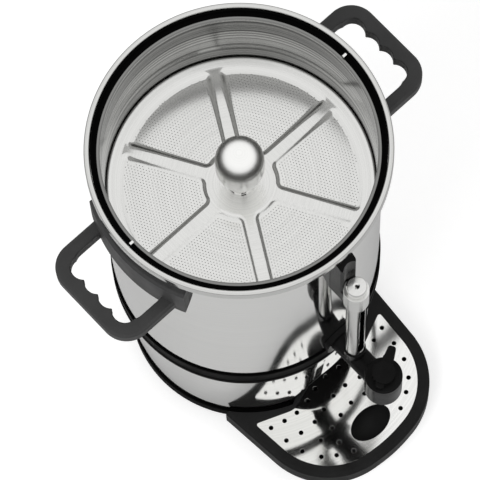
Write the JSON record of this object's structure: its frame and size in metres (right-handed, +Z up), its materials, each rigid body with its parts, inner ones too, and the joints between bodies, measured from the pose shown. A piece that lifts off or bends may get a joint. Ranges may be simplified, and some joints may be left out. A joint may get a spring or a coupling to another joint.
{
  "type": "coffee urn",
  "caption": "Percolating coffee urn: polished round body with scalloped side handles, sight gauge, front tap, drip tray with lift-out grid, and ribbed spreader cover with dome.",
  "frame": {"origin": "the urn's own axis, on the worktop", "axes": "+Z up along the urn's axis; the tap and the drip tray face -Y; the handles lie along X"},
  "size_m": [0.4128, 0.3814, 0.52],
  "materials": {
    "polished_steel": "mirror polished stainless steel",
    "satin_steel": "satin stainless steel",
    "black_plastic": "moulded black plastic",
    "grey_plastic": "moulded dark grey plastic",
    "zinc_steel": "zinc plated steel",
    "rubber": "black rubber",
    "glass": "clear glass",
    "cast_alloy": "cast alloy",
    "cream_ceramic": "cream ceramic",
    "lamp_lens": "amber lens",
    "brass": "plain brass"
  },
  "bodies": {
    "urn": {"rim_bead": "polished_steel", "lid_seat": "black_plastic", "lid_lugs": "polished_steel", "outer_shell": "polished_steel", "inner_container": "satin_steel", "belt_ring": "black_plastic", "base_skirt": "polished_steel", "foot_ring": "black_plastic", "recess_panel": "black_plastic", "bottom_plate": "zinc_steel", "foot_pads": "rubber", "foot_screws": "zinc_steel", "handle_right": "grey_plastic", "handle_left": "grey_plastic", "handle_screws": "zinc_steel", "gauge_bracket": "black_plastic", "gauge_nut": "polished_steel", "sight_glass": "glass", "gauge_guard": "polished_steel", "gauge_seals": "rubber", "tap_body": "black_plastic", "tap_nut": "zinc_steel", "tap_washer": "rubber", "tap_bonnet": "black_plastic", "pump_heater": "cast_alloy", "warming_heater": "cast_alloy", "heater_clamp": "zinc_steel", "tie_rod": "zinc_steel", "tie_nuts": "zinc_steel", "thermostats": "cream_ceramic", "terminal_block": "cream_ceramic", "switch_frame": "black_plastic", "pilot_lamps": "lamp_lens", "inlet_socket": "black_plastic", "inlet_pins": "brass"},
    "tap_key": {"tap_lever": "black_plastic", "tap_plug": "grey_plastic"},
    "tray": {"drip_tray": "black_plastic"},
    "grid": {"drip_grid": "polished_steel"},
    "riser": {"riser_tube": "satin_steel", "riser_bell": "satin_steel"},
    "basket": {"filter_basket": "satin_steel"},
    "cover": {"spreader_cover": "satin_steel", "spray_dome": "polished_steel"},
    "cap": {"gauge_cap": "polished_steel"},
    "rocker": {"switch_rocker": "black_plastic"}
  },
  "joints": [
    {"name": "tap_turn", "type": "hinge", "parent": "urn", "child": "tap_key", "pos_m": [0, -0.209, 0.246], "axis": [0, 0, 1], "range_deg": [-90, 0]},
    {"name": "tray_slide", "type": "slide", "parent": "urn", "child": "tray", "axis": [0, -1, 0], "range_m": [0, 0.16]},
    {"name": "grid_lift", "type": "slide", "parent": "tray", "child": "grid", "axis": [0, 0, 1], "range_m": [0, 0.015]},
    {"name": "riser_lift", "type": "slide", "parent": "urn", "child": "riser", "axis": [0, 0, 1], "range_m": [0, 0.33]},
    {"name": "basket_lift", "type": "slide", "parent": "riser", "child": "basket", "axis": [0, 0, 1], "range_m": [0, 0.17]},
    {"name": "cover_lift", "type": "slide", "parent": "basket", "child": "cover", "axis": [0, 0, 1], "range_m": [0, 0.08]},
    {"name": "cap_lift", "type": "slide", "parent": "urn", "child": "cap", "axis": [0, 0, 1], "range_m": [0, 0.05]},
    {"name": "switch_tip", "type": "hinge", "parent": "urn", "child": "rocker", "pos_m": [0.11846, -0.06298, 0.104], "axis": [0.4695, 0.8829, 0], "range_deg": [0, 18]}
  ]
}
